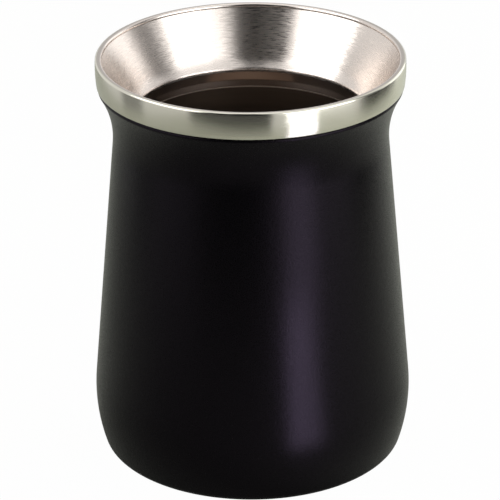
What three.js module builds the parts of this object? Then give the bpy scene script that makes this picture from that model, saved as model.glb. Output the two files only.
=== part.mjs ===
import * as THREE from "three";

// Insulated mate cup: a double-wall vacuum cup with a bare steel funnel mouth over a coated body.
// Millimetres, +Z up, origin on the cup's axis in the plane of its foot.
// Every sheet-metal piece is drawn by its face line in (radius, height), and its wall lies to
// the left of that line as it runs.

// Sheet thicknesses and fits
const shellWall = 0.5;
const funnelWall = 0.5;
const linerWall = 0.5;
const vacuumWall = 0.6;
const capWall = 0.5;
const foilWall = 0.2;
const strapWall = 0.4;
const bendInside = 0.15; // inside radius of a tight sheet bend
const fitGap = 0.3; // clearance between neighbouring pieces

// Mouth: rim band, lip, funnel, throat and the collar under it
const cupHeight = 109.2;
const throatRadius = 30.1;
const throatDepth = 15.8; // rim to the narrowest line of the throat
const throatRoll = 1.5;
const funnelSpread = 10; // throat out to the widest line of the rim band
const lipFlat = 0.3; // level strip on top of the lip
const lipBead = 0.75; // roll on the inside of the lip
const lipStep = 0.25; // the lip bead stands this far over the funnel's face
const bandHeight = 7.1;
const bandArc = 37; // the band bellies out a little, on this radius
const bandCrown = 4.6; // its lower edge up to its widest line
const bandOverhang = 0.3; // its lower edge stands out this far past the shell
const throatUndercut = 1.2; // the collar below the throat is wider by this
const collarSlope = 3.5; // height in which it widens
const collarBend = 1.5;
const lapLength = 1.6; // collar inside liner

// Liner: straight wall, pressed base, foil wrap and the getter under the base
const linerCorner = 7;
const linerSkirt = 4;
const floorPanelRadius = 18;
const floorPanelRise = 1;
const foilInset = 3; // bare liner above and below the foil
const foilOverlap = 12;
const pelletRadius = 5;
const pelletHeight = 2.4;
const pelletChamfer = 0.4;
const strapWidth = 6;
const strapFlange = 4.5;

// Body: two arcs joined by their common tangent, a turned-in foot and a joggled top
const vacuumGap = 2.8; // liner to shell at the neck
const flareRadius = 25.5;
const bellySwell = 6.15; // belly beyond neck
const bellyArc = 46.5;
const bellyHeight = 15.6;
const footCorner = 2.7;
const footWidth = 2.6;
const flangeHeight = 5;
const joggleLap = 2.2; // shell inside band

// Base: vacuum base with its seal, and the cap below it
const capRecess = 1.5; // foot plane up to the cap
const capCorner = 1.2;
const capPanelInset = 7;
const capPanelRise = 0.6;
const baseDepth = 6;
const baseCorner = 2;
const baseGap = 7; // vacuum base to liner base
const dimpleRadius = 5;
const dimpleRise = 1.4;
const holeRadius = 1.2;
const beadHeight = 1;

// Facets
const wallFacets = 40;
const smallFacets = 24;
const chordError = 0.06;

// Radii and heights that follow from the sizes above
const rimRadius = throatRadius + funnelSpread;
const collarRadius = throatRadius + throatUndercut;
const linerBore = collarRadius + funnelWall + fitGap;
const linerOutside = linerBore + linerWall;
const neckRadius = linerOutside + vacuumGap + shellWall;
const bellyRadius = neckRadius + bellySwell;
const throatHeight = cupHeight - throatDepth;
const lapTop = throatHeight - collarSlope;
const lapBottom = lapTop - lapLength;
const bandBottom = cupHeight - bandHeight;
const vacuumTop = capRecess + baseDepth;
const linerFloor = vacuumTop + baseGap + linerWall;
const linerSeam = linerFloor + linerCorner + linerSkirt;
const getterSeat = linerFloor + floorPanelRise - linerWall - fitGap;

// The rim band's barrel and the roll at its top
const barrelCentre = spot(rimRadius - bandArc, bandBottom + bandCrown);
const bandEdgeRadius = barrelCentre.x + Math.sqrt(bandArc ** 2 - bandCrown ** 2);
const lipCorner = funnelWall + bendInside;
const lipRise = cupHeight - lipCorner - barrelCentre.y;
const lipReach = Math.sqrt((bandArc - lipCorner) ** 2 - lipRise ** 2);
const lipCentre = spot(barrelCentre.x + lipReach, cupHeight - lipCorner);

// The body's arcs: the foot corner and the flare are placed so that each touches its neighbour,
// and the shoulder so that it clears the band's back edge
const bellyCentre = spot(bellyRadius - bellyArc, bellyHeight);
const footReach = Math.sqrt((bellyArc - footCorner) ** 2 - (bellyHeight - footCorner) ** 2);
const footCentre = spot(bellyCentre.x + footReach, footCorner);
const shoulderRoll = shellWall + bendInside;
const shoulderInset = bandOverhang + shoulderRoll;
const shoulderDrop = Math.sqrt((shoulderRoll + fitGap) ** 2 - (shoulderInset - funnelWall) ** 2);
const shoulderCentre = spot(bandEdgeRadius - shoulderInset, bandBottom - shoulderDrop);
const flareAxis = neckRadius + flareRadius;
const flareRise = Math.sqrt((flareRadius + shoulderRoll) ** 2 - (flareAxis - shoulderCentre.x) ** 2);
const flareCentre = spot(flareAxis, shoulderCentre.y - flareRise);
const foldRoll = shellWall + bendInside;
const foldCentre = spot(footCentre.x - footWidth, foldRoll);
const flangeRadius = foldCentre.x - foldRoll;
const vacuumBaseRadius = flangeRadius - fitGap;
const capRadius = vacuumBaseRadius - vacuumWall - fitGap;

function spot(radius, height) {
  return new THREE.Vector2(radius, height);
}

// Points of an arc between two angles, close enough together to keep to the chord error
function arc(centre, radius, fromAngle, toAngle) {
  const step = 2 * Math.acos(Math.max(0, 1 - chordError / radius));
  const count = Math.max(2, Math.ceil(Math.abs(toAngle - fromAngle) / step));
  const clockwise = toAngle < fromAngle;
  const curve = new THREE.EllipseCurve(centre.x, centre.y, radius, radius, fromAngle, toAngle, clockwise);
  return curve.getPoints(count);
}

// Angle of the normal of a line that touches two circles, where reach is the sum or difference
// of their radii measured along that normal
function tangentAngle(from, to, reach, side) {
  const span = to.clone().sub(from);
  return span.angle() + side * Math.acos(reach / span.length());
}

// One face line from single points and arcs, with repeated points dropped
function faceLine(...runs) {
  const repeatDistance = 1e-6;
  const line = [];
  for (const point of runs.flat()) {
    const last = line.at(-1);
    if (!last || last.distanceTo(point) > repeatDistance) {
      line.push(point);
    }
  }
  return line;
}

// The face line moved square to itself by the wall, mitred at its corners
function backLine(face, wall) {
  const leftOf = (from, to) => {
    const run = to.clone().sub(from).normalize();
    return spot(-run.y, run.x);
  };
  return face.map((point, i) => {
    const before = i > 0 ? leftOf(face[i - 1], point) : leftOf(point, face[i + 1]);
    const after = i < face.length - 1 ? leftOf(point, face[i + 1]) : before;
    const mitre = before.clone().add(after).normalize();
    const moved = point.clone().addScaledVector(mitre, wall / mitre.dot(before));
    return point.x === 0 ? spot(0, moved.y) : moved;
  });
}

// Outline of a sheet: closed on itself, or starting and ending on the axis
function sheetOutline(face, wall) {
  const back = backLine(face, wall).reverse();
  if (face.at(-1).x === 0) {
    return [...back, ...face];
  }
  if (face[0].x === 0) {
    return [...face, ...back];
  }
  return [...face, ...back, face[0].clone()];
}

// Solid of revolution about +Z, with its faces pointing out
function turned(outline, facets) {
  const points = THREE.ShapeUtils.area(outline) < 0 ? outline.toReversed() : outline;
  return new THREE.LatheGeometry(points, facets).rotateX(Math.PI / 2);
}

// Body shell, from the flange inside the foot out and up to the joggle inside the band
function outerShell() {
  const footAngle = footCentre.clone().sub(bellyCentre).angle() - 2 * Math.PI;
  const wallAngle = tangentAngle(bellyCentre, flareCentre, bellyArc + flareRadius, -1);
  const shoulderAngle = shoulderCentre.clone().sub(flareCentre).angle();
  const joggleStep = Math.max(funnelWall + fitGap, shoulderInset + bendInside);
  const joggleBend = joggleStep - shoulderInset;
  const joggleRadius = bandEdgeRadius - joggleStep;
  const joggleCentre = spot(shoulderCentre.x, shoulderCentre.y + shoulderRoll + joggleBend);
  const face = faceLine(
    spot(flangeRadius, flangeHeight),
    arc(foldCentre, foldRoll, Math.PI, 1.5 * Math.PI),
    arc(footCentre, footCorner, -Math.PI / 2, footAngle),
    arc(bellyCentre, bellyArc, footAngle, wallAngle),
    arc(flareCentre, flareRadius, wallAngle + Math.PI, shoulderAngle),
    arc(shoulderCentre, shoulderRoll, shoulderAngle - Math.PI, Math.PI / 2),
    arc(joggleCentre, joggleBend, 1.5 * Math.PI, Math.PI),
    spot(joggleRadius, bandBottom + joggleLap),
  );
  return turned(sheetOutline(face, shellWall), wallFacets);
}

// Rim band, lip bead, funnel, throat and collar, drawn as one sheet from the band's lower edge
// over the lip and down to the lap inside the liner
function mouthFunnel() {
  const edgeAngle = -Math.asin(bandCrown / bandArc);
  const cornerAngle = Math.asin(lipRise / (bandArc - lipCorner));
  const beadCentre = spot(lipCentre.x - lipFlat, cupHeight - lipBead);
  const throatCentre = spot(throatRadius + throatRoll, throatHeight);
  const bendCentre = spot(collarRadius - collarBend, lapTop);
  const beadReach = lipBead - lipStep;
  const creaseTurn = Math.acos(beadReach / lipBead);
  const funnelAngle = tangentAngle(throatCentre, beadCentre, throatRoll - beadReach, 1);
  const collarAngle = tangentAngle(throatCentre, bendCentre, throatRoll + collarBend, -1);
  const face = faceLine(
    arc(barrelCentre, bandArc, edgeAngle, cornerAngle),
    arc(lipCentre, lipCorner, cornerAngle, Math.PI / 2),
    arc(beadCentre, lipBead, Math.PI / 2, funnelAngle + creaseTurn),
    arc(throatCentre, throatRoll, funnelAngle, collarAngle),
    arc(bendCentre, collarBend, collarAngle - Math.PI, 0),
    spot(collarRadius, lapBottom),
  );
  return turned(sheetOutline(face, funnelWall), wallFacets);
}

// Straight liner tube: it laps over the collar and meets the liner base at a butt seam
function linerTube() {
  const face = faceLine(spot(linerBore, lapTop), spot(linerBore, linerSeam + fitGap));
  return turned(sheetOutline(face, linerWall), wallFacets);
}

// Pressed liner base, with a raised panel in the middle of its floor
function linerBase() {
  const cornerCentre = spot(linerBore - linerCorner, linerFloor + linerCorner);
  const panelTop = linerFloor + floorPanelRise;
  const face = faceLine(
    spot(linerBore, linerSeam),
    arc(cornerCentre, linerCorner, 0, -Math.PI / 2),
    spot(floorPanelRadius + floorPanelRise, linerFloor),
    spot(floorPanelRadius, panelTop),
    spot(0, panelTop),
  );
  return turned(sheetOutline(face, linerWall), wallFacets);
}

// Foil strip wound once round the liner, its tail lying over its start
function shieldFoil() {
  const innerRadius = linerOutside + fitGap;
  const sweep = 2 * Math.PI + foilOverlap / innerRadius;
  const growth = (foilWall + fitGap) / (2 * Math.PI);
  const steps = Math.ceil((wallFacets * sweep) / (2 * Math.PI));
  const wound = (extra) => (_, i) => {
    const angle = (sweep * i) / steps;
    const radius = innerRadius + growth * angle + extra;
    return spot(radius * Math.cos(angle), radius * Math.sin(angle));
  };
  const inside = Array.from({ length: steps + 1 }, wound(0));
  const outside = Array.from({ length: steps + 1 }, wound(foilWall));
  const strip = new THREE.Shape([...outside, ...inside.reverse()]);
  const bottom = linerSeam + foilInset;
  const depth = lapBottom - foilInset - bottom;
  return new THREE.ExtrudeGeometry(strip, { depth, bevelEnabled: false }).translate(0, 0, bottom);
}

// Inverted pan that closes the vacuum space, with a dimple pressed up round the pump-out hole
function vacuumBase() {
  const cornerCentre = spot(vacuumBaseRadius - baseCorner, vacuumTop - baseCorner);
  const face = faceLine(
    spot(vacuumBaseRadius, capRecess),
    arc(cornerCentre, baseCorner, 0, Math.PI / 2),
    spot(dimpleRadius + dimpleRise, vacuumTop),
    spot(dimpleRadius, vacuumTop + dimpleRise),
    spot(holeRadius, vacuumTop + dimpleRise),
  );
  return turned(sheetOutline(face, vacuumWall), wallFacets);
}

// Solder glass bead under the dimple, with a plug that stands in the pump-out hole
function sealBead() {
  const bedHeight = vacuumTop + dimpleRise - vacuumWall;
  const beadTop = bedHeight - fitGap;
  const beadRadius = dimpleRadius - vacuumWall - fitGap;
  const plugRadius = holeRadius - fitGap;
  const edgeHeight = beadHeight / 3;
  const outline = [
    spot(0, beadTop - beadHeight),
    spot(beadRadius - edgeHeight, beadTop - beadHeight + edgeHeight / 2),
    spot(beadRadius, beadTop - edgeHeight),
    spot(beadRadius, beadTop),
    spot(plugRadius, beadTop),
    spot(plugRadius, bedHeight + vacuumWall / 2),
    spot(0, bedHeight + vacuumWall / 2),
  ];
  return turned(outline, smallFacets);
}

// Getter pellet pressed flat against the underside of the liner base's panel
function getterPellet() {
  const bottom = getterSeat - pelletHeight;
  const outline = [
    spot(0, bottom),
    spot(pelletRadius - pelletChamfer, bottom),
    spot(pelletRadius, bottom + pelletChamfer),
    spot(pelletRadius, getterSeat - pelletChamfer),
    spot(pelletRadius - pelletChamfer, getterSeat),
    spot(0, getterSeat),
  ];
  return turned(outline, smallFacets);
}

// Hat-shaped strap that holds the pellet, its two feet on the liner base
function getterStrap() {
  const legReach = pelletRadius + fitGap;
  const footReachOut = legReach + strapFlange;
  const webHeight = getterSeat - pelletHeight - fitGap;
  const face = [
    spot(footReachOut, getterSeat),
    spot(legReach, getterSeat),
    spot(legReach, webHeight),
    spot(-legReach, webHeight),
    spot(-legReach, getterSeat),
    spot(-footReachOut, getterSeat),
  ];
  const section = new THREE.Shape([...face, ...backLine(face, strapWall).reverse()]);
  const strip = new THREE.ExtrudeGeometry(section, { depth: strapWidth, bevelEnabled: false });
  return strip.translate(0, 0, -strapWidth / 2).rotateX(Math.PI / 2);
}

// Bottom cap: a shallow pan pushed up into the vacuum base, with a raised panel
function baseCap() {
  const cornerCentre = spot(capRadius - capCorner, capRecess + capCorner);
  const panelRadius = cornerCentre.x - capPanelInset;
  const skirtTop = vacuumTop - baseCorner - fitGap;
  const face = faceLine(
    spot(0, capRecess + capPanelRise),
    spot(panelRadius, capRecess + capPanelRise),
    spot(panelRadius + capPanelRise, capRecess),
    arc(cornerCentre, capCorner, -Math.PI / 2, 0),
    spot(capRadius, skirtTop),
  );
  return turned(sheetOutline(face, capWall), wallFacets);
}

const blackCoat = { color: 0x121213, roughness: 0.42, metalness: 0.1 };
const brushedSteel = { color: 0xc4c1b8, roughness: 0.3, metalness: 1 };
const linerSteel = { color: 0x8f8a82, roughness: 0.4, metalness: 1 };
const plainSteel = { color: 0xa9a8a4, roughness: 0.45, metalness: 1 };
const copperFoil = { color: 0xb5714a, roughness: 0.35, metalness: 1 };
const getterAlloy = { color: 0x4a4a4c, roughness: 0.8, metalness: 0.4 };
const solderGlass = { color: 0x5c6470, roughness: 0.15, metalness: 0 };

const pieces = [
  ["outer_shell", outerShell(), blackCoat],
  ["mouth_funnel", mouthFunnel(), brushedSteel],
  ["liner_tube", linerTube(), linerSteel],
  ["liner_base", linerBase(), linerSteel],
  ["shield_foil", shieldFoil(), copperFoil],
  ["getter_pellet", getterPellet(), getterAlloy],
  ["getter_strap", getterStrap(), plainSteel],
  ["vacuum_base", vacuumBase(), plainSteel],
  ["seal_bead", sealBead(), solderGlass],
  ["base_cap", baseCap(), plainSteel],
];

const mateCup = new THREE.Group();
for (const [name, geometry, finish] of pieces) {
  const mesh = new THREE.Mesh(geometry, new THREE.MeshStandardMaterial(finish));
  mesh.name = name;
  mateCup.add(mesh);
}

export default mateCup;
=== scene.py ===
"""Looks of the insulated mate cup: turned sheet-metal pieces, their finishes, the studio and the camera.

Metres, +Z up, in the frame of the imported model, with the cup's axis on Z and its foot at Z = 0.
"""

from __future__ import annotations

import logging
import math
from dataclasses import dataclass, field
from enum import Enum
from functools import cached_property

import bmesh
import bpy
from mathutils import Matrix, Vector


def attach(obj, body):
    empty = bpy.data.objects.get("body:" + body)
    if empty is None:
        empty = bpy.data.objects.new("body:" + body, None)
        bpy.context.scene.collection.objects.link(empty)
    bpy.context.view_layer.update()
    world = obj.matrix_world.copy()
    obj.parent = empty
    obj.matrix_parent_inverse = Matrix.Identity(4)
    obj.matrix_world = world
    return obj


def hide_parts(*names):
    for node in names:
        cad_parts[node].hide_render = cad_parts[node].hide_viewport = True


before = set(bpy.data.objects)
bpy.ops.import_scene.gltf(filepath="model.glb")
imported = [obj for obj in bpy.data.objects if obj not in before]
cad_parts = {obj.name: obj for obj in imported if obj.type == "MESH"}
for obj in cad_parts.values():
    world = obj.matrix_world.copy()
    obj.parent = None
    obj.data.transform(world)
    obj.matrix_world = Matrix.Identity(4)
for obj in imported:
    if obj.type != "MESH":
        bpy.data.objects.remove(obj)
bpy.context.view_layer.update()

Colour = tuple[float, float, float]

MM = 0.001
BODY = "root"
ACROSS_MARKS = 0.25  # a quarter turn, for marks that run round the axis
WHITE = (1.0, 1.0, 1.0)
VIOLET = (0.87, 0.82, 1.0)
LAMP_POWER = 4.0  # watts per square metre of a lamp, for a brightness of 1

log = logging.getLogger("mate_cup")


class Value:
    """One socket of a node tree, with arithmetic that adds Math nodes to the tree."""

    def __init__(self, graph: Graph, socket: bpy.types.NodeSocket) -> None:
        """Wraps a socket of the graph's tree."""
        self.graph = graph
        self.socket = socket

    def out(self, key: str | int) -> Value:
        """Another output of the node that this value comes from."""
        return Value(self.graph, self.graph.pick(self.socket.node.outputs, key))

    def __add__(self, other: Value | float) -> Value:
        """The sum of two values."""
        return self.graph.math("ADD", self, other)

    def __radd__(self, other: float) -> Value:
        """The sum of a number and this value."""
        return self.graph.math("ADD", other, self)

    def __sub__(self, other: Value | float) -> Value:
        """This value less another."""
        return self.graph.math("SUBTRACT", self, other)

    def __rsub__(self, other: float) -> Value:
        """A number less this value."""
        return self.graph.math("SUBTRACT", other, self)

    def __mul__(self, other: Value | float) -> Value:
        """The product of two values."""
        return self.graph.math("MULTIPLY", self, other)

    def __rmul__(self, other: float) -> Value:
        """The product of a number and this value."""
        return self.graph.math("MULTIPLY", other, self)

    def __truediv__(self, other: Value | float) -> Value:
        """This value divided by another."""
        return self.graph.math("DIVIDE", self, other)

    def __rtruediv__(self, other: float) -> Value:
        """A number divided by this value."""
        return self.graph.math("DIVIDE", other, self)


class Graph:
    """A node tree that is written as Python expressions."""

    def __init__(self, tree: bpy.types.NodeTree) -> None:
        """Takes the tree to add nodes to."""
        self.tree = tree

    @staticmethod
    def pick(sockets: bpy.types.bpy_prop_collection, key: str | int) -> bpy.types.NodeSocket:
        """Finds a socket of a node.

        Args:
            sockets: The node's inputs or outputs.
            key: The socket's place, identifier or name.

        Returns:
            The socket.
        """
        if isinstance(key, int):
            return sockets[key]
        for socket in sockets:
            if key == socket.identifier:
                return socket
        return sockets[key]

    def node(
        self,
        kind: str,
        settings: dict[str, object] | None = None,
        inputs: dict[str | int, object] | None = None,
        output: str | int = 0,
    ) -> Value:
        """Adds one node.

        Args:
            kind: The node's type.
            settings: Its properties, which are set first.
            inputs: Values to link, or numbers, colours and data to set, by socket.
            output: The output to return.

        Returns:
            That output of the new node, or the first input of a node without outputs.
        """
        node = self.tree.nodes.new(kind)
        for name, setting in (settings or {}).items():
            setattr(node, name, setting)
        for key, given in (inputs or {}).items():
            socket = self.pick(node.inputs, key)
            if isinstance(given, Value):
                self.tree.links.new(given.socket, socket)
            else:
                socket.default_value = given
        return Value(self, self.pick(node.outputs or node.inputs, output))

    def math(self, operation: str, *values: Value | float) -> Value:
        """One Math node on the values or numbers given."""
        return self.node("ShaderNodeMath", {"operation": operation}, dict(enumerate(values)))

    def smooth_step(self, value: Value, low: float, high: float) -> Value:
        """Runs smoothly from 0, where the value is low, to 1, where it is high."""
        return self.node(
            "ShaderNodeMapRange",
            {"interpolation_type": "SMOOTHSTEP"},
            {"Value": value, "From Min": low, "From Max": high},
        )


def tangent_angle(start: Vector, end: Vector, reach: float, side: int) -> float:
    """Angle of the normal of a line that touches two circles.

    Args:
        start: Centre of the first circle, as (radius, height).
        end: Centre of the second circle.
        reach: Sum or difference of the two radii, measured along that normal.
        side: 1 or -1, the side of the line of centres that the normal points to.

    Returns:
        The angle in radians, from the radius axis.
    """
    span = end - start
    return bearing(span) + side * math.acos(reach / span.length)


def bearing(span: Vector) -> float:
    """Angle of a vector in the (radius, height) plane, from 0 to a full turn."""
    return math.atan2(span.y, span.x) % math.tau


class FaceLine:
    """The face of a turned sheet in (radius, height), with the wall to the left of the line."""

    ARC_STEP = math.radians(5.0)
    CHORD_ERROR = 0.004 * MM
    SUPPORT = 0.12 * MM
    REPEAT = 0.001 * MM
    EDGE_STEPS = 4

    def __init__(self) -> None:
        """Starts an empty line."""
        self.points: list[Vector] = []

    def to(self, radius: float, height: float) -> FaceLine:
        """Runs straight to a point.

        Args:
            radius: Distance from the axis.
            height: Height over the foot.

        Returns:
            This line.
        """
        target = Vector((radius, height))
        if not self.points:
            self.points.append(target)
            return self
        run = target - self.points[-1]
        if run.length < self.REPEAT:
            return self
        if run.length > 3 * self.SUPPORT:
            support = run.normalized() * self.SUPPORT
            self.points += [self.points[-1] + support, target - support]
        self.points.append(target)
        return self

    def arc(self, centre: Vector, radius: float, start: float, end: float) -> FaceLine:
        """Runs straight to an arc's start and then along it.

        Args:
            centre: The arc's centre.
            radius: The arc's radius.
            start: Angle where it starts, in radians.
            end: Angle where it ends.

        Returns:
            This line.
        """
        step = min(self.ARC_STEP, 2 * math.acos(max(0.0, 1 - self.CHORD_ERROR / radius)))
        count = max(2, math.ceil(abs(end - start) / step))
        for i in range(count + 1):
            angle = start + (end - start) * i / count
            spot = centre + radius * Vector((math.cos(angle), math.sin(angle)))
            if i == 0:
                self.to(*spot)
            else:
                self.points.append(spot)
        return self

    def _lefts(self) -> list[tuple[Vector, float]]:
        """Works out how the line moves when it is offset to its left.

        Returns:
            Mitre direction and length factor at each point.
        """
        lefts = []
        for here, there in zip(self.points, self.points[1:]):
            run = (there - here).normalized()
            lefts.append(Vector((-run.y, run.x)))
        mitres = []
        for before, after in zip([lefts[0], *lefts], [*lefts, lefts[-1]]):
            mitre = (before + after).normalized()
            mitres.append((mitre, 1 / mitre.dot(before)))
        return mitres

    def _cut_edge(
        self, corner: Vector, along: Vector, left: Vector, wall: float, edge: float
    ) -> list[Vector]:
        """Rounded cut edge of the sheet, from its face to its back.

        Args:
            corner: End point of the face.
            along: Direction in which the face runs off its end.
            left: Direction from the face to the back.
            wall: Sheet thickness.
            edge: Radius of the rounding.

        Returns:
            The points of the edge.
        """
        points = []
        for centre, first in ((edge, 0.0), (wall - edge, 0.5 * math.pi)):
            hub = corner - along * edge + left * centre
            for i in range(self.EDGE_STEPS + 1):
                angle = first + 0.5 * math.pi * i / self.EDGE_STEPS
                points.append(hub + edge * (math.sin(angle) * along - math.cos(angle) * left))
        return points

    def sheet(self, wall: float, edge: float) -> list[Vector]:
        """Closed outline of the sheet, or one that starts and ends on the axis.

        Args:
            wall: Sheet thickness.
            edge: Radius of the rounding on its cut edges.

        Returns:
            The outline, with its first point repeated at its end if it is closed on itself.
        """
        mitres = self._lefts()
        back = [point + mitre * (wall * factor) for point, (mitre, factor) in zip(self.points, mitres)]
        for point, moved in zip(self.points, back):
            if point.x == 0.0:
                moved.x = 0.0
        face = list(self.points)
        closing: list[Vector] = []
        opening: list[Vector] = []
        if face[-1].x > 0.0:
            along = (face[-1] - face[-2]).normalized()
            closing = self._cut_edge(face[-1], along, mitres[-1][0], wall, edge)
            face.pop()
            back.pop()
        if face[0].x > 0.0:
            along = (face[0] - face[1]).normalized()
            opening = self._cut_edge(face[0], along, mitres[0][0], wall, edge)
            opening.reverse()
            face.pop(0)
            back.pop(0)
        back.reverse()
        if closing and opening:
            return [*face, *closing, *back, *opening, face[0].copy()]
        if opening:
            return [*back, *opening, *face]
        return [*face, *closing, *back]


class TurningTree:
    """Geometry Nodes tree that turns a profile about +Z into a closed, smooth sheet."""

    FACETS = 256
    CREASE = math.radians(30.0)
    WELD = 1e-4 * MM

    def __init__(self) -> None:
        """Builds the tree and keeps the identifiers of its inputs."""
        self.tree = bpy.data.node_groups.new("Turned sheet", "GeometryNodeTree")
        interface = self.tree.interface
        interface.new_socket("Profile", in_out="INPUT", socket_type="NodeSocketGeometry")
        sockets = {
            "Facets": "NodeSocketInt",
            "Crease angle": "NodeSocketFloat",
            "Weld distance": "NodeSocketFloat",
            "Material": "NodeSocketMaterial",
        }
        self.inputs = {
            name: interface.new_socket(name, in_out="INPUT", socket_type=kind).identifier
            for name, kind in sockets.items()
        }
        interface.new_socket("Sheet", in_out="OUTPUT", socket_type="NodeSocketGeometry")
        self._wire(Graph(self.tree))

    @staticmethod
    def _wire(graph: Graph) -> None:
        """Adds the nodes: a grid of facets by profile points, bent round the axis.

        Args:
            graph: The tree to fill.
        """
        given = graph.node("NodeGroupInput")
        facets = given.out("Facets")
        profile = given.out("Profile")
        count = graph.node(
            "GeometryNodeAttributeDomainSize", inputs={"Geometry": profile}, output="Point Count"
        )
        grid = graph.node("GeometryNodeMeshGrid", inputs={"Vertices X": facets + 1, "Vertices Y": count})
        index = graph.node("GeometryNodeInputIndex")
        column = graph.math("FLOOR", (index + 0.5) / count)
        row = index - column * count
        spot = graph.node(
            "GeometryNodeSampleIndex",
            {"data_type": "FLOAT_VECTOR", "domain": "POINT"},
            {"Geometry": profile, "Value": graph.node("GeometryNodeInputPosition"), "Index": row},
        )
        turned = graph.node(
            "ShaderNodeVectorRotate",
            {"rotation_type": "Z_AXIS"},
            {"Vector": spot, "Angle": column * math.tau / facets},
        )
        bent = graph.node("GeometryNodeSetPosition", inputs={"Geometry": grid, "Position": turned})
        closed = graph.node(
            "GeometryNodeMergeByDistance",
            inputs={"Geometry": bent, "Distance": given.out("Weld distance")},
        )
        smooth = graph.node("GeometryNodeSetShadeSmooth", inputs={"Geometry": closed, "Shade Smooth": True})
        angle = graph.node("GeometryNodeInputMeshEdgeAngle", output="Unsigned Angle")
        sharp = graph.node(
            "FunctionNodeCompare",
            {"data_type": "FLOAT", "operation": "GREATER_THAN"},
            {"A": angle, "B": given.out("Crease angle")},
        )
        creased = graph.node(
            "GeometryNodeSetShadeSmooth",
            {"domain": "EDGE"},
            {"Geometry": smooth, "Selection": sharp, "Shade Smooth": False},
        )
        real = graph.node("GeometryNodeRealizeInstances", inputs={"Geometry": creased})
        dressed = graph.node(
            "GeometryNodeSetMaterial", inputs={"Geometry": real, "Material": given.out("Material")}
        )
        graph.node("NodeGroupOutput", inputs={"Sheet": dressed})

    def turn(self, name: str, outline: list[Vector], material: bpy.types.Material) -> bpy.types.Object:
        """Turns one outline into a piece.

        Args:
            name: The piece's name.
            outline: Its section, as (radius, height) points.
            material: Its finish.

        Returns:
            The piece, with a plain mesh and no modifier.
        """
        section = bpy.data.meshes.new(name + "_section")
        section.from_pydata([(point.x, 0.0, point.y) for point in outline], [], [])
        piece = bpy.data.objects.new(name, section)
        bpy.context.scene.collection.objects.link(piece)
        modifier = piece.modifiers.new("Turn", "NODES")
        modifier.node_group = self.tree
        modifier[self.inputs["Facets"]] = self.FACETS
        modifier[self.inputs["Crease angle"]] = self.CREASE
        modifier[self.inputs["Weld distance"]] = self.WELD
        modifier[self.inputs["Material"]] = material
        evaluated = piece.evaluated_get(bpy.context.evaluated_depsgraph_get())
        sheet = bpy.data.meshes.new_from_object(evaluated)
        piece.modifiers.remove(modifier)
        piece.data = sheet
        sheet.name = name
        bpy.data.meshes.remove(section)
        face_out(sheet)
        return piece


def face_out(mesh: bpy.types.Mesh) -> None:
    """Turns the faces of a closed mesh outwards.

    Args:
        mesh: The mesh to change.
    """
    work = bmesh.new()
    work.from_mesh(mesh)
    bmesh.ops.recalc_face_normals(work, faces=work.faces)
    work.to_mesh(mesh)
    work.free()


class Grain(Enum):
    """Which way the brush or tool marks of a metal run."""

    AROUND = "round the axis"
    STRAIGHT = "along X"


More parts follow.
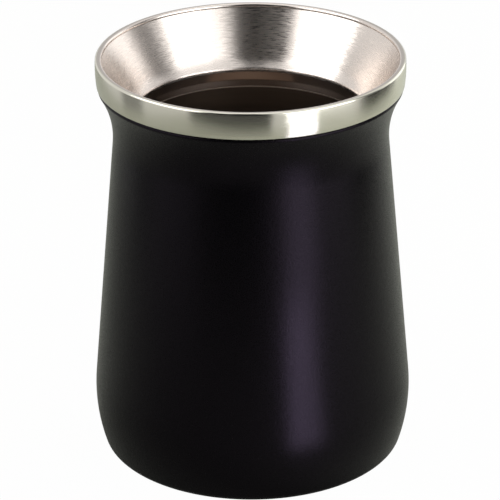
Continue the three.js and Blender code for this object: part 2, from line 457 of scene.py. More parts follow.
class Surface(Graph):
    """A material with one Principled shader, and the patterns that the finishes share."""

    MARK_RADIUS = 35 * MM
    MARK_SLANT = 0.7
    SCUFF_STEP = (0.15, 0.85)
    OUTWARD_STEP = (-0.2, 0.6)

    def __init__(self, name: str, constants: dict[str, object]) -> None:
        """Makes the material.

        Args:
            name: The material's name.
            constants: Shader sockets that are the same all over the surface.
        """
        self.material = bpy.data.materials.new(name)
        self.material.use_nodes = True
        super().__init__(self.material.node_tree)
        self.tree.nodes.clear()
        shader = self.node("ShaderNodeBsdfPrincipled", inputs=constants)
        self.node("ShaderNodeOutputMaterial", inputs={"Surface": shader})
        self.shader = shader.socket.node

    def feed(self, socket: str, value: Value) -> None:
        """Links a value that changes over the surface to a shader socket."""
        self.tree.links.new(value.socket, self.shader.inputs[socket])

    @cached_property
    def place(self) -> Value:
        """Object coordinates, in metres."""
        return self.node("ShaderNodeTexCoord", output="Object")

    @cached_property
    def axes(self) -> tuple[Value, Value, Value]:
        """The three Object coordinates as single values."""
        apart = self.node("ShaderNodeSeparateXYZ", inputs={"Vector": self.place})
        return apart.out("X"), apart.out("Y"), apart.out("Z")

    @cached_property
    def away(self) -> Value:
        """The level vector from the axis to the surface."""
        x, y, _ = self.axes
        return self.node("ShaderNodeCombineXYZ", inputs={"X": x, "Y": y})

    @cached_property
    def radius(self) -> Value:
        """Distance from the axis."""
        return self.vector("LENGTH", self.away, output="Value")

    def vector(self, operation: str, *vectors: Value, output: str = "Vector") -> Value:
        """One Vector Math node on the vectors given."""
        return self.node("ShaderNodeVectorMath", {"operation": operation}, dict(enumerate(vectors)), output)

    def noise(self, vector: Value, scale: float = 1.0, detail: float = 2.0) -> Value:
        """Smooth noise from 0 to 1; scale is in waves per unit, and detail adds finer layers."""
        return self.node("ShaderNodeTexNoise", inputs={"Vector": vector, "Scale": scale, "Detail": detail})

    def streaks(self, grain: Grain, length: float, spacing: float) -> Value:
        """Noise drawn out into brush marks.

        Args:
            grain: Which way the marks run.
            length: Length of a mark.
            spacing: Distance from mark to mark.

        Returns:
            The marks, from 0 to 1.
        """
        x, y, z = self.axes
        if grain is Grain.STRAIGHT:
            spots = {"X": x / length, "Y": y / spacing, "Z": z / spacing}
        else:
            turns = self.MARK_RADIUS / length
            spots = {
                "X": x / self.radius * turns,
                "Y": y / self.radius * turns,
                "Z": (z + self.MARK_SLANT * self.radius) / spacing,
            }
        return self.noise(self.node("ShaderNodeCombineXYZ", inputs=spots), detail=0.0)

    def scuffs(self, marks: Value) -> Value:
        """Brush marks with more contrast, from 0 to 1."""
        return self.smooth_step(marks, *self.SCUFF_STEP)

    def blend(self, amount: Value, low: Value | Colour, high: Value | Colour) -> Value:
        """Colour between two others: the first where the amount is 0, the second where it is 1."""
        low, high = (end if isinstance(end, Value) else (*end, 1.0) for end in (low, high))
        return self.node(
            "ShaderNodeMix",
            {"data_type": "RGBA"},
            {"Factor_Float": amount, "A_Color": low, "B_Color": high},
            "Result_Color",
        )

    def shades(self, amount: Value, colour: Colour, spread: float) -> Value:
        """A colour that goes from darker to lighter by a share of itself, as the amount goes from 0 to 1."""
        dark, light = (tuple(channel * share for channel in colour) for share in (1 - spread, 1 + spread))
        return self.blend(amount, dark, light)

    def outside(self) -> Value:
        """Tells the outer side of the sheet from the inner side.

        Returns:
            1 where the surface faces away from the axis, and 0 where it faces the axis.
        """
        radial = self.vector("NORMALIZE", self.away)
        facing = self.vector("DOT_PRODUCT", self.place.out("Normal"), radial, output="Value")
        return self.smooth_step(facing, *self.OUTWARD_STEP)

    def tilt_by(self, slope: Value, lift: Value) -> None:
        """Feeds the shader with a tilted normal.

        Args:
            slope: The tilt round the axis.
            lift: The tilt upwards.
        """
        x, y, _ = self.axes
        turn = slope / self.radius
        sway = self.node("ShaderNodeCombineXYZ", inputs={"X": 0 - y * turn, "Y": x * turn, "Z": lift})
        tilted = self.vector("ADD", self.place.out("Normal"), sway)
        self.feed("Normal", self.vector("NORMALIZE", tilted))

    def raise_by(self, height: Value, depth: float, strength: float) -> None:
        """Feeds the shader's normal with a bump; depth is what a height of 1 measures."""
        inputs = {"Height": height, "Distance": depth, "Strength": strength}
        self.feed("Normal", self.node("ShaderNodeBump", inputs=inputs))


@dataclass(frozen=True)
class PowderCoat:
    """Satin powder coat: nearly black, with a fine grain and a faint violet gloss."""

    name: str = "black_coat"
    colour: Colour = (0.001, 0.001, 0.001)
    colour_spread: float = 0.2
    gloss_tint: Colour = (0.9, 0.72, 1.0)
    gloss: float = 0.115
    roughness: float = 0.28
    roughness_spread: float = 0.25
    grain_size: float = 0.32 * MM
    peel_size: float = 1.6 * MM
    grain_share: float = 0.6
    grain_depth: float = 0.12 * MM
    relief: float = 0.6

    def make(self) -> bpy.types.Material:
        """Builds the material.

        Returns:
            The material.
        """
        gloss = {"Specular IOR Level": self.gloss, "Specular Tint": (*self.gloss_tint, 1.0)}
        surface = Surface(self.name, gloss)
        grain = surface.noise(surface.place, 1 / self.grain_size)
        peel = surface.noise(surface.place, 1 / self.peel_size)
        height = self.grain_share * grain + (1 - self.grain_share) * peel
        surface.feed("Base Color", surface.shades(peel, self.colour, self.colour_spread))
        surface.feed("Roughness", self.roughness + self.roughness_spread * (grain - 0.5))
        surface.raise_by(height, self.grain_depth, self.relief)
        return surface.material


def bare_steel(name: str, anisotropy: float) -> Surface:
    """A metal surface whose highlights are drawn out across its brush marks."""
    constants = {"Metallic": 1.0, "Anisotropic": anisotropy, "Anisotropic Rotation": ACROSS_MARKS}
    return Surface(name, constants)


@dataclass(frozen=True)
class MouthSteel:
    """Bare steel of the mouth: brushed funnel, finer band, polished lip and smooth collar.

    The funnel's last few millimetres over the throat are shaded as slightly dished.
    The collar's colour is a painted brown reflection of the shaded throat, and the band's tint is partly
    a painted reflection.
    """

    throat_height: float
    lip_height: float
    name: str = "brushed_steel"
    funnel_colour: Colour = (0.67, 0.61, 0.565)
    # partly painted reflection: the band's yellow-green tint stands in for the greenish surroundings it
    # reflects, over the steel's own colour
    band_steel_and_painted_reflection: Colour = (0.645, 0.622, 0.535)
    # painted reflection: the collar's bright brown stands in for the shaded throat it reflects; the collar
    # is the same steel as the funnel
    collar_painted_reflection: Colour = (0.95, 0.78, 0.68)
    roughness: float = 0.225
    anisotropy: float = 0.86
    mark_length: float = 2.2 * MM
    mark_spacing: float = 0.13 * MM
    scuff: float = 0.45
    sway: float = 0.07
    band_calm: float = 0.6
    band_shine: float = 0.22
    lip_shine: float = 0.2
    lip_blend: float = 0.2 * MM
    brush_start: float = -0.9 * MM
    brush_full: float = -0.1 * MM
    dish_lift: float = 0.34
    dish_full: float = 0.8 * MM
    dish_end: float = 3.8 * MM

    def make(self) -> bpy.types.Material:
        """Builds the material.

        Returns:
            The material.
        """
        surface = bare_steel(self.name, self.anisotropy)
        marks = surface.streaks(Grain.AROUND, self.mark_length, self.mark_spacing)
        band = surface.outside()
        over_throat = surface.axes[2] - self.throat_height
        over_lip = surface.axes[2] - self.lip_height
        brushed = surface.smooth_step(over_throat, self.brush_start, self.brush_full)
        polished = surface.smooth_step(over_lip, -self.lip_blend, self.lip_blend)
        marked = brushed * (1 - polished) * (1 - self.band_calm * band)
        # on the outer side this colour carries the band's painted reflection tint
        steel = surface.blend(band, self.funnel_colour, self.band_steel_and_painted_reflection)
        # below the throat the collar takes its painted brown reflection colour
        surface.feed("Base Color", surface.blend(brushed, self.collar_painted_reflection, steel))
        roughness = self.roughness * (1 - self.band_shine * band) * (1 - self.lip_shine * polished)
        surface.feed("Roughness", roughness * (1 + self.scuff * surface.scuffs(marks) * marked))
        rising = surface.smooth_step(over_throat, 0.0, self.dish_full)
        fading = surface.smooth_step(over_throat, self.dish_end, self.dish_full)
        dished = rising * fading * (1 - band)
        surface.tilt_by(self.sway * (marks - 0.5) * marked, self.dish_lift * dished)
        return surface.material


@dataclass(frozen=True)
class BrushedSteel:
    """Bare steel with the marks of a brush or a tool."""

    name: str
    colour: Colour
    roughness: float
    grain: Grain
    anisotropy: float
    colour_spread: float = 0.08
    scuff: float = 0.2
    mark_length: float = 0.8 * MM
    mark_spacing: float = 0.25 * MM
    mark_depth: float = 0.012 * MM
    broad_length: float = 4.0
    broad_spacing: float = 5.0
    fine_share: float = 0.65
    relief: float = 0.7

    def make(self) -> bpy.types.Material:
        """Builds the material.

        Returns:
            The material.
        """
        surface = bare_steel(self.name, self.anisotropy)
        fine = surface.streaks(self.grain, self.mark_length, self.mark_spacing)
        length, spacing = self.broad_length * self.mark_length, self.broad_spacing * self.mark_spacing
        broad = surface.streaks(self.grain, length, spacing)
        marks = self.fine_share * fine + (1 - self.fine_share) * broad
        surface.feed("Base Color", surface.shades(marks, self.colour, self.colour_spread))
        surface.feed("Roughness", self.roughness * (1 + self.scuff * surface.scuffs(fine)))
        surface.raise_by(marks, self.mark_depth, self.relief)
        return surface.material


@dataclass(frozen=True)
class MottledFinish:
    """Metal or glass with a mottled, slightly uneven surface."""

    name: str
    colour: Colour
    roughness: float
    metallic: float = 1.0
    mottle_size: float = 1.5 * MM
    mottle_depth: float = 0.01 * MM
    mottle_layers: float = 4.0
    colour_spread: float = 0.2
    roughness_spread: float = 0.2
    relief: float = 0.5

    def make(self) -> bpy.types.Material:
        """Builds the material.

        Returns:
            The material.
        """
        surface = Surface(self.name, {"Metallic": self.metallic})
        mottle = surface.noise(surface.place, 1 / self.mottle_size, self.mottle_layers)
        surface.feed("Base Color", surface.shades(mottle, self.colour, self.colour_spread))
        surface.feed("Roughness", self.roughness + self.roughness_spread * (mottle - 0.5))
        surface.raise_by(mottle, self.mottle_depth, self.relief)
        return surface.material


@dataclass
class CupSizes:
    """Sizes that neighbouring pieces share."""

    height: float = 109.2 * MM
    throat_radius: float = 30.1 * MM
    throat_depth: float = 15.8 * MM
    throat_undercut: float = 1.2 * MM
    funnel_spread: float = 10 * MM
    funnel_wall: float = 0.5 * MM
    band_height: float = 7.1 * MM
    band_arc: float = 37 * MM
    band_crown: float = 4.6 * MM
    collar_slope: float = 3.5 * MM
    lap_length: float = 1.6 * MM
    liner_wall: float = 0.5 * MM
    fit_gap: float = 0.3 * MM
    bend_inside: float = 0.15 * MM
    cut_edge: float = 0.12 * MM

    def __post_init__(self) -> None:
        """Works out the radii and heights that follow from the sizes."""
        self.rim_radius = self.throat_radius + self.funnel_spread
        self.collar_radius = self.throat_radius + self.throat_undercut
        self.liner_bore = self.collar_radius + self.funnel_wall + self.fit_gap
        self.throat_height = self.height - self.throat_depth
        self.lap_top = self.throat_height - self.collar_slope
        self.lap_bottom = self.lap_top - self.lap_length
        self.band_bottom = self.height - self.band_height
        self.barrel = Vector((self.rim_radius - self.band_arc, self.band_bottom + self.band_crown))
        self.band_edge_radius = self.barrel.x + math.sqrt(self.band_arc**2 - self.band_crown**2)


class Workshop:
    """Turns the cup's pieces, and holds a finish for each slot of the record and for the weld beads."""

    BEAD_STEPS = 16

    def __init__(self, throat_height: float, lip_height: float) -> None:
        """Makes the materials and the tree that turns outlines.

        Args:
            throat_height: Height of the throat, where the mouth's brushing ends.
            lip_height: Height from which the lip is polished.
        """
        finishes = (
            PowderCoat(),
            MouthSteel(throat_height, lip_height),
            # painted shade: the liner's dark brown colour stands in for the shade inside the cup; the liner
            # itself is bare steel
            BrushedSteel("liner_steel", (0.225, 0.18, 0.145), 0.28, Grain.AROUND, 0.0, mark_length=25 * MM),
            BrushedSteel("plain_steel", (0.6, 0.6, 0.58), 0.36, Grain.STRAIGHT, 0.4),
            MottledFinish("weld_steel", (0.75, 0.64, 0.56), 0.5, mottle_size=0.6 * MM),
            MottledFinish("copper_foil", (0.62, 0.32, 0.19), 0.3, mottle_size=6 * MM),
            MottledFinish("getter_alloy", (0.2, 0.2, 0.21), 0.75, 0.4, 0.3 * MM, 0.05 * MM),
            MottledFinish("solder_glass", (0.22, 0.24, 0.28), 0.15, 0.0, 0.8 * MM),
        )
        self.materials = {finish.name: finish.make() for finish in finishes}
        self.tree = TurningTree()

    def add(
        self,
        name: str,
        outline: list[Vector],
        slot: str,
        replaced: str | None = None,
        finish: str | None = None,
    ) -> None:
        """Turns a piece, sets it on the cup's body and reports it.

        Args:
            name: The piece's name.
            outline: Its section, as (radius, height) points.
            slot: The record's material slot.
            replaced: The solid that it stands for, if any.
            finish: Its finish, if it isn't the slot's own.
        """
        piece = self.tree.turn(name, outline, self.materials[finish or slot])
        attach(piece, BODY)
        if replaced:
            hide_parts(replaced)
        log.info("%s: %d faces", name, len(piece.data.polygons))

    def add_weld(self, name: str, centre: Vector, radius: float, slot: str) -> None:
        """Runs a round weld bead about the axis.

        Args:
            name: The bead's name.
            centre: Centre of its section, as (radius, height).
            radius: Radius of its section.
            slot: The record's material slot.
        """
        angles = [math.tau * i / self.BEAD_STEPS for i in range(self.BEAD_STEPS)]
        points = [centre + radius * Vector((math.cos(angle), math.sin(angle))) for angle in angles]
        self.add(name, [*points, points[0].copy()], slot, finish="weld_steel")


@dataclass
class Mouth:
    """Rim band, lip bead, funnel, throat and collar in one sheet, and the weld under the collar."""

    cup: CupSizes
    throat_roll: float = 1.5 * MM
    lip_flat: float = 0.3 * MM
    lip_bead: float = 0.75 * MM
    lip_step: float = 0.25 * MM
    collar_bend: float = 1.5 * MM
    weld_radius: float = 0.4 * MM

    @property
    def lip_height(self) -> float:
        """Height of the lip bead's centre."""
        return self.cup.height - self.lip_bead

    def face(self) -> FaceLine:
        """Draws the sheet's face.

        Returns:
            The line from the band's lower edge over the lip and down the funnel to the collar's end.
        """
        cup = self.cup
        corner = cup.funnel_wall + cup.bend_inside
        rise = cup.height - corner - cup.barrel.y
        reach = math.sqrt((cup.band_arc - corner) ** 2 - rise**2)
        lip = Vector((cup.barrel.x + reach, cup.height - corner))
        bead = Vector((lip.x - self.lip_flat, self.lip_height))
        throat = Vector((cup.throat_radius + self.throat_roll, cup.throat_height))
        bend = Vector((cup.collar_radius - self.collar_bend, cup.lap_top))
        bead_reach = self.lip_bead - self.lip_step
        edge_angle = -math.asin(cup.band_crown / cup.band_arc)
        corner_angle = math.asin(rise / (cup.band_arc - corner))
        crease_turn = math.acos(bead_reach / self.lip_bead)
        funnel_angle = tangent_angle(throat, bead, self.throat_roll - bead_reach, 1)
        collar_angle = tangent_angle(throat, bend, self.throat_roll + self.collar_bend, -1)
        line = FaceLine().arc(cup.barrel, cup.band_arc, edge_angle, corner_angle)
        line.arc(lip, corner, corner_angle, 0.5 * math.pi)
        line.arc(bead, self.lip_bead, 0.5 * math.pi, funnel_angle + crease_turn)
        line.arc(throat, self.throat_roll, funnel_angle, collar_angle)
        line.arc(bend, self.collar_bend, collar_angle - math.pi, 0.0)
        return line.to(cup.collar_radius, cup.lap_bottom)

    def build(self, shop: Workshop) -> None:
        """Makes the sheet and the weld.

        Args:
            shop: Where the pieces are turned.
        """
        cup = self.cup
        outline = self.face().sheet(cup.funnel_wall, cup.cut_edge)
        shop.add("mouth_sheet", outline, "brushed_steel", "mouth_funnel")
        seam = Vector((cup.collar_radius + self.weld_radius, cup.lap_bottom))
        shop.add_weld("collar_weld", seam, self.weld_radius, "liner_steel")


@dataclass
class Liner:
    """Straight inner wall, pressed floor and the seam between them."""

    cup: CupSizes
    corner: float = 7 * MM
    skirt: float = 4 * MM
    floor: float = 15 * MM
    panel_radius: float = 18 * MM
    panel_rise: float = 1 * MM
    weld_radius: float = 0.28 * MM

    def build(self, shop: Workshop) -> None:
        """Makes the wall, the floor and their weld.

        Args:
            shop: Where the pieces are turned.
        """
        cup = self.cup
        seam = self.floor + self.corner + self.skirt
        wall = FaceLine().to(cup.liner_bore, cup.lap_top).to(cup.liner_bore, seam + cup.fit_gap)
        outline = wall.sheet(cup.liner_wall, cup.cut_edge)
        shop.add("liner_wall", outline, "liner_steel", "liner_tube")
        corner = Vector((cup.liner_bore - self.corner, self.floor + self.corner))
        base = FaceLine().to(cup.liner_bore, seam)
        base.arc(corner, self.corner, 0.0, -0.5 * math.pi)
        base.to(self.panel_radius + self.panel_rise, self.floor)
        base.to(self.panel_radius, self.floor + self.panel_rise)
        base.to(0.0, self.floor + self.panel_rise)
        outline = base.sheet(cup.liner_wall, cup.cut_edge)
        shop.add("liner_floor", outline, "liner_steel", "liner_base")
        joint = Vector((cup.liner_bore + 0.5 * self.weld_radius, seam + 0.5 * cup.fit_gap))
        shop.add_weld("liner_weld", joint, self.weld_radius, "liner_steel")


@dataclass
class Body:
    """Coated shell: turned-in foot, belly, straight taper, flare and the joggle inside the band."""

    cup: CupSizes
    wall: float = 0.5 * MM
    vacuum_gap: float = 2.8 * MM
    flare_radius: float = 25.5 * MM
    belly_swell: float = 6.15 * MM
    belly_arc: float = 46.5 * MM
    belly_height: float = 15.6 * MM
    foot_corner: float = 2.7 * MM
    foot_width: float = 2.6 * MM
    flange_height: float = 5 * MM
    joggle_lap: float = 2.2 * MM
    band_overhang: float = 0.3 * MM

    def __post_init__(self) -> None:
        """Places the centres of the shell's arcs."""
        cup = self.cup
        neck = cup.liner_bore + cup.liner_wall + self.vacuum_gap + self.wall
        self.belly = Vector((neck + self.belly_swell - self.belly_arc, self.belly_height))
        span = self.belly_arc - self.foot_corner
        reach = math.sqrt(span**2 - (self.belly_height - self.foot_corner) ** 2)
        self.foot = Vector((self.belly.x + reach, self.foot_corner))
        self.roll = self.wall + cup.bend_inside
        self.fold = Vector((self.foot.x - self.foot_width, self.roll))
        self.flange_radius = self.fold.x - self.roll
        self.inset = self.band_overhang + self.roll
        drop = math.sqrt((self.roll + cup.fit_gap) ** 2 - (self.inset - cup.funnel_wall) ** 2)
        self.shoulder = Vector((cup.band_edge_radius - self.inset, cup.band_bottom - drop))
        axis = neck + self.flare_radius
        rise = math.sqrt((self.flare_radius + self.roll) ** 2 - (axis - self.shoulder.x) ** 2)
        self.flare = Vector((axis, self.shoulder.y - rise))

    def face(self) -> FaceLine:
        """Draws the shell's face.

        Returns:
            The line from the flange inside the foot, out and up to the joggle inside the band.
        """
        cup = self.cup
        foot_angle = bearing(self.foot - self.belly) - math.tau
        wall_angle = tangent_angle(self.belly, self.flare, self.belly_arc + self.flare_radius, -1)
        shoulder_angle = bearing(self.shoulder - self.flare)
        joggle_step = max(cup.funnel_wall + cup.fit_gap, self.inset + cup.bend_inside)
        joggle_bend = joggle_step - self.inset
        joggle_radius = cup.band_edge_radius - joggle_step
        joggle = Vector((self.shoulder.x, self.shoulder.y + self.roll + joggle_bend))
        line = FaceLine().to(self.flange_radius, self.flange_height)
        line.arc(self.fold, self.roll, math.pi, 1.5 * math.pi)
        line.arc(self.foot, self.foot_corner, -0.5 * math.pi, foot_angle)
        line.arc(self.belly, self.belly_arc, foot_angle, wall_angle)
        line.arc(self.flare, self.flare_radius, wall_angle + math.pi, shoulder_angle)
        line.arc(self.shoulder, self.roll, shoulder_angle - math.pi, 0.5 * math.pi)
        line.arc(joggle, joggle_bend, 1.5 * math.pi, math.pi)
        return line.to(joggle_radius, cup.band_bottom + self.joggle_lap)

    def build(self, shop: Workshop) -> None:
        """Makes the shell.

        Args:
            shop: Where the pieces are turned.
        """
        outline = self.face().sheet(self.wall, self.cup.cut_edge)
        shop.add("body_shell", outline, "black_coat", "outer_shell")


@dataclass
class Underside:
    """Vacuum base, the weld that holds it in the foot, and the cap below it."""

    cup: CupSizes
    flange_radius: float
    vacuum_wall: float = 0.6 * MM
    cap_wall: float = 0.5 * MM
    cap_recess: float = 1.5 * MM
    cap_corner: float = 1.2 * MM
    cap_panel_inset: float = 7 * MM
    cap_panel_rise: float = 0.6 * MM
    base_depth: float = 6 * MM
    base_corner: float = 2 * MM
    dimple_radius: float = 5 * MM
    dimple_rise: float = 1.4 * MM
    hole_radius: float = 1.2 * MM
    weld_radius: float = 0.28 * MM

    def build(self, shop: Workshop) -> None:
        """Makes the base, its weld and the cap.

        Args:
            shop: Where the pieces are turned.
        """
        cup = self.cup
        radius = self.flange_radius - cup.fit_gap
        top = self.cap_recess + self.base_depth
        corner = Vector((radius - self.base_corner, top - self.base_corner))
        base = FaceLine().to(radius, self.cap_recess)
        base.arc(corner, self.base_corner, 0.0, 0.5 * math.pi)
        base.to(self.dimple_radius + self.dimple_rise, top)
        base.to(self.dimple_radius, top + self.dimple_rise)
        base.to(self.hole_radius, top + self.dimple_rise)
        outline = base.sheet(self.vacuum_wall, cup.cut_edge)
        shop.add("vacuum_pan", outline, "plain_steel", "vacuum_base")
        seam = Vector((radius + 0.5 * cup.fit_gap, self.cap_recess))
        shop.add_weld("foot_weld", seam, self.weld_radius, "plain_steel")
        cap_radius = radius - self.vacuum_wall - cup.fit_gap
        corner = Vector((cap_radius - self.cap_corner, self.cap_recess + self.cap_corner))
        panel_radius = corner.x - self.cap_panel_inset
        cap = FaceLine().to(0.0, self.cap_recess + self.cap_panel_rise)
        cap.to(panel_radius, self.cap_recess + self.cap_panel_rise)
        cap.to(panel_radius + self.cap_panel_rise, self.cap_recess)
        cap.arc(corner, self.cap_corner, -0.5 * math.pi, 0.0)
        cap.to(cap_radius, top - self.base_corner - cup.fit_gap)
        outline = cap.sheet(self.cap_wall, cup.cut_edge)
        shop.add("bottom_cap", outline, "plain_steel", "base_cap")


class VacuumFittings:
    """Foil, getter, its strap and the seal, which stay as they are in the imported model."""

    def dress(self, shop: Workshop) -> None:
        """Gives each node its finish.

        Args:
            shop: Where the finishes are.
        """
        finishes = {
            "shield_foil": "copper_foil",
            "getter_pellet": "getter_alloy",
            "getter_strap": "plain_steel",
            "seal_bead": "solder_glass",
        }
        for node, finish in finishes.items():
            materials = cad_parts[node].data.materials
            materials.clear()
            materials.append(shop.materials[finish])
            log.info("%s: dressed", node)


def direction(azimuth: float, elevation: float) -> Vector:
    """Unit vector from the cup; azimuth 0 is towards the camera and 90 to its right, in degrees."""
    turn, rise = math.radians(azimuth), math.radians(elevation)
    return Vector((math.sin(turn) * math.cos(rise), -math.cos(turn) * math.cos(rise), math.sin(rise)))


def climb(graph: Graph, rise: Value, start: float, end: float) -> Value:
    """Runs from 0 at one elevation to 1 at another, in degrees; rise is the sine of the elevation."""
    return graph.smooth_step(rise, math.sin(math.radians(start)), math.sin(math.radians(end)))


@dataclass(frozen=True)
class Lamp:
    """A soft box or a small card of light near the cup; angles in degrees, seen from its target."""

    name: str
    azimuth: float
    elevation: float
    width: float
    height: float
    brightness: float
    distance: float = 0.8
    tilt: float = 0.0
    spread: float = 180.0
    colour: Colour = WHITE
    mirrored: bool = True

    def build(self, target: Vector) -> None:
        """Hangs the lamp.

        Args:
            target: The point that it faces, apart from its tilt.
        """
        data = bpy.data.lights.new(self.name, "AREA")
        data.shape = "RECTANGLE"
        data.color = self.colour
        data.size = self.width
        data.size_y = self.height
        data.spread = math.radians(self.spread)
        data.energy = LAMP_POWER * self.width * self.height * self.brightness
        lamp = bpy.data.objects.new(self.name, data)
        lamp.location = target + self.distance * direction(self.azimuth, self.elevation)
        away = direction(self.azimuth, self.elevation + self.tilt)
        lamp.rotation_euler = away.to_track_quat("Z", "Y").to_euler()
        lamp.visible_camera = False
        lamp.visible_glossy = self.mirrored
        bpy.context.scene.collection.objects.link(lamp)


@dataclass(frozen=True)
class DarkSlot:
    """An upright gap in the white room that the cup reflects as dark; angles in degrees."""

    azimuth: float
    inner: float
    outer: float
    base: float
    top: float
    depth: float
    fade: float = 15.0

    def dim(self, graph: Graph, azimuth: Value, rise: Value) -> Value:
        """How much of the room's brightness stays.

        Args:
            graph: The room's tree.
            azimuth: Bearing of a reflected ray, in radians.
            rise: Sine of its elevation.

        Returns:
            1 outside the slot, and less inside.
        """
        turn = azimuth - math.radians(self.azimuth)
        shortest = graph.math("WRAP", turn, math.pi, -math.pi)
        off = graph.math("ABSOLUTE", shortest)
        inside = graph.smooth_step(off, math.radians(self.outer), math.radians(self.inner))
        below_top = climb(graph, rise, self.top, self.top - self.fade)
        above_base = climb(graph, rise, self.base, self.base + self.fade)
        return 1 - self.depth * inside * below_top * above_base


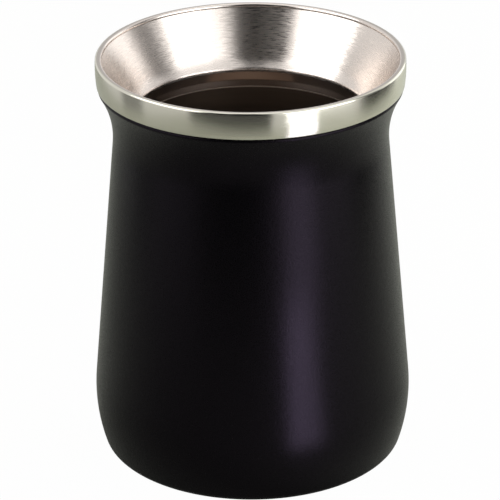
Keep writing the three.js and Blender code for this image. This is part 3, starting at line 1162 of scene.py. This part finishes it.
@dataclass
class Studio:
    """Pale floor, white room, soft boxes and the camera."""

    cup_height: float
    aim_share: float = 0.85
    floor_front: float = 0.23
    floor_back: float = 1.2
    floor_side: float = 0.26
    floor_gap: float = 0.05 * MM
    floor_colour: Colour = (0.475, 0.49, 0.43)
    floor_white: float = 0.985
    room_light: float = 0.35
    room_gloss: float = 1.0
    ceiling_gloss: float = 1.1
    ceiling_start: float = 50.0
    ceiling_full: float = 70.0
    ground_shade: float = 0.25
    ground_start: float = -3.0
    ground_full: float = -12.0
    camera_place: Vector = field(default_factory=lambda: Vector((-0.4548, -755.56, 400.0)) * MM)
    camera_pitch: float = math.radians(24.598)
    camera_roll: float = math.radians(-0.382)
    focal_in_frames: float = 6.28462
    sensor: float = 36.0
    lamps: tuple[Lamp, ...] = (
        Lamp("key_box", 36.5, 8.0, 0.34, 0.9, 1.65),
        Lamp("side_box", 62.0, 16.0, 0.46, 0.78, 1.6),
        Lamp("right_box", 132.0, 6.0, 0.45, 0.6, 0.6),
        Lamp("left_box", -74.0, 40.0, 0.68, 0.46, 1.9),
        Lamp("back_box", 130.0, 35.0, 0.3, 0.3, 4.5, 0.45, mirrored=False),
        Lamp("low_card", 28.0, -42.4, 0.024, 0.047, 0.71, 0.1083, tilt=27.4, spread=70.0, colour=VIOLET),
        Lamp("mid_card", 33.0, -19.7, 0.036, 0.037, 1.7, 0.1126, colour=VIOLET),
        Lamp("top_box", 180.0, 70.0, 0.5, 0.3, 0.4),
    )
    dark_slots: tuple[DarkSlot, ...] = (
        DarkSlot(-11.0, 23.0, 32.0, -8.0, 66.0, 0.995),  # dark streak at the back of the funnel
        DarkSlot(-6.0, 13.0, 21.0, -8.0, 85.0, 0.98),  # the same, narrower towards the throat
        DarkSlot(-15.0, 27.0, 33.0, -90.0, 5.0, 0.94),  # front of the band
        DarkSlot(97.0, 6.0, 14.0, -90.0, 50.0, 0.75),  # streak at the left of the funnel
        DarkSlot(112.0, 14.0, 22.0, -90.0, 0.0, 0.9),  # right of the band and the body
        DarkSlot(-97.0, 7.0, 15.0, -90.0, -3.0, 0.75),  # left of the band
        DarkSlot(180.0, 12.0, 35.0, 2.0, 50.0, 0.38),  # top of the lip
    )

    def build(self) -> None:
        """Makes the floor, the room, the lamps and the camera."""
        self._floor()
        self._room()
        target = Vector((0.0, 0.0, self.aim_share * self.cup_height))
        for lamp in self.lamps:
            lamp.build(target)
        self._camera()
        bpy.context.scene.view_settings.view_transform = "Standard"

    def _floor(self) -> None:
        """Lays a pale floor that the camera sees as white, with a trace of the cup's shadow."""
        mesh = bpy.data.meshes.new("floor")
        left, right, front, back = -self.floor_side, self.floor_side, -self.floor_front, self.floor_back
        level = -self.floor_gap
        corners = [(left, front, level), (right, front, level), (right, back, level), (left, back, level)]
        mesh.from_pydata(corners, [], [(0, 1, 2, 3)])
        floor = bpy.data.objects.new("floor", mesh)
        bpy.context.scene.collection.objects.link(floor)
        material = bpy.data.materials.new("pale_floor")
        material.use_nodes = True
        material.node_tree.nodes.clear()
        graph = Graph(material.node_tree)
        camera = graph.node("ShaderNodeLightPath", output="Is Camera Ray")
        plain = graph.node("ShaderNodeBsdfDiffuse", inputs={"Color": (*self.floor_colour, 1.0)})
        white = graph.node("ShaderNodeEmission", inputs={"Strength": 1.0})
        mixed = graph.node("ShaderNodeMixShader", inputs={0: camera * self.floor_white, 1: plain, 2: white})
        graph.node("ShaderNodeOutputMaterial", inputs={"Surface": mixed})
        mesh.materials.append(material)

    def _room(self) -> None:
        """Makes the room white to the camera, and pale with dark slots in reflections."""
        world = bpy.data.worlds.new("room")
        bpy.context.scene.world = world
        world.use_nodes = True
        world.node_tree.nodes.clear()
        graph = Graph(world.node_tree)
        gloss, soft, white = (
            graph.node("ShaderNodeBackground", inputs={"Color": (*WHITE, 1.0), "Strength": strength})
            for strength in (self._reflected(graph), self.room_light, 1.0)
        )
        path = graph.node("ShaderNodeLightPath")
        seen = path.out("Is Camera Ray") + path.out("Is Transmission Ray")
        lit = graph.node("ShaderNodeMixShader", inputs={0: path.out("Is Glossy Ray"), 1: soft, 2: gloss})
        room = graph.node("ShaderNodeMixShader", inputs={0: seen, 1: lit, 2: white})
        graph.node("ShaderNodeOutputWorld", inputs={"Surface": room})

    def _reflected(self, graph: Graph) -> Value:
        """Brightness of the room in reflections.

        Args:
            graph: The room's tree.

        Returns:
            The brightness, for the direction of a reflected ray.
        """
        ray = graph.node("ShaderNodeTexCoord", output="Generated")
        apart = graph.node("ShaderNodeSeparateXYZ", inputs={"Vector": ray})
        x, y, rise = apart.out("X"), apart.out("Y"), apart.out("Z")
        azimuth = graph.math("ARCTAN2", x, 0 - y)
        ceiling = climb(graph, rise, self.ceiling_start, self.ceiling_full)
        ground = climb(graph, rise, self.ground_start, self.ground_full)
        pale = self.room_gloss + (self.ceiling_gloss - self.room_gloss) * ceiling
        pale = pale * (1 - self.ground_shade * ground)
        for slot in self.dark_slots:
            pale = pale * slot.dim(graph, azimuth, rise)
        return pale

    def _camera(self) -> None:
        """Sets the camera at the photograph's viewing angle."""
        data = bpy.data.cameras.new("camera")
        data.sensor_fit = "HORIZONTAL"
        data.sensor_width = self.sensor
        data.lens = self.focal_in_frames * self.sensor
        camera = bpy.data.objects.new("camera", data)
        tilt = Matrix.Rotation(0.5 * math.pi - self.camera_pitch, 4, "X")
        roll = Matrix.Rotation(self.camera_roll, 4, "Z")
        camera.matrix_world = Matrix.Translation(self.camera_place) @ tilt @ roll
        bpy.context.scene.collection.objects.link(camera)
        bpy.context.scene.camera = camera


def main() -> None:
    """Builds the cup's sub-assemblies, the studio and the camera."""
    logging.basicConfig(level=logging.INFO, format="%(name)s %(message)s")
    cup = CupSizes()
    body = Body(cup)
    mouth = Mouth(cup)
    shop = Workshop(cup.throat_height, mouth.lip_height)
    body.build(shop)
    mouth.build(shop)
    Liner(cup).build(shop)
    Underside(cup, body.flange_radius).build(shop)
    VacuumFittings().dress(shop)
    Studio(cup.height).build()


if __name__ == "__main__":
    main()
